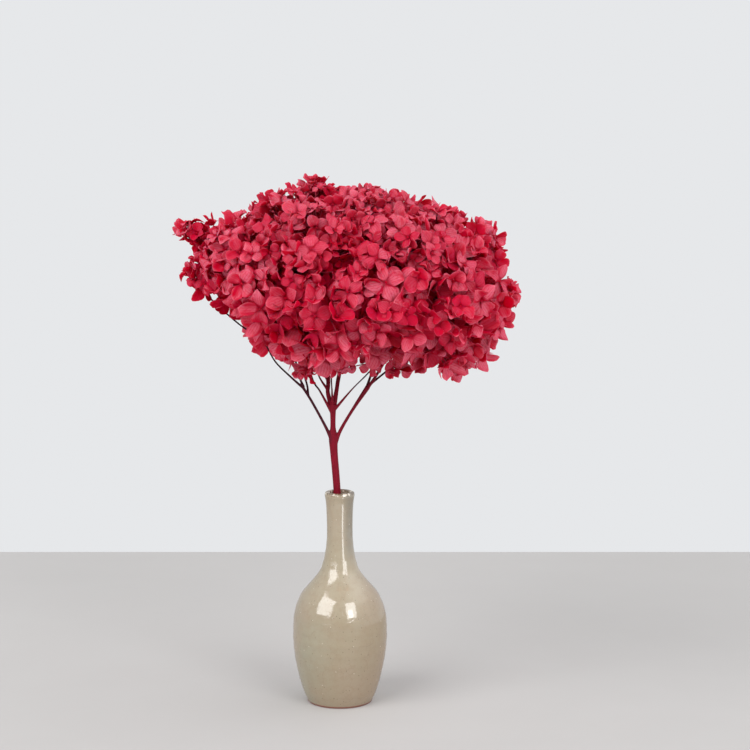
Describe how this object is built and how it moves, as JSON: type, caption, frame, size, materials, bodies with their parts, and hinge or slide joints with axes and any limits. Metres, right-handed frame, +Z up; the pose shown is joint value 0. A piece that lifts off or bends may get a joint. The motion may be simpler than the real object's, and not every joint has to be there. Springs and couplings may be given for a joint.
{
  "type": "hydrangea in vase",
  "caption": "Dyed preserved hydrangea head on a forked woody stem, standing in a small glazed stoneware bottle vase.",
  "frame": {"origin": "middle of the vase's flat foot, on the surface that it stands on", "axes": "+Z up along the vase's axis, +X to the right and -Y towards the viewer as pictured"},
  "size_m": [0.2247, 0.1894, 0.3444],
  "materials": {
    "glaze": "glossy crackle glaze",
    "dyed_bark": "satin dyed bark",
    "dyed_petal": "soft matte petal"
  },
  "bodies": {
    "root": {"vase": "glaze", "stem": "dyed_bark", "flower_head": "dyed_petal"}
  },
  "joints": []
}
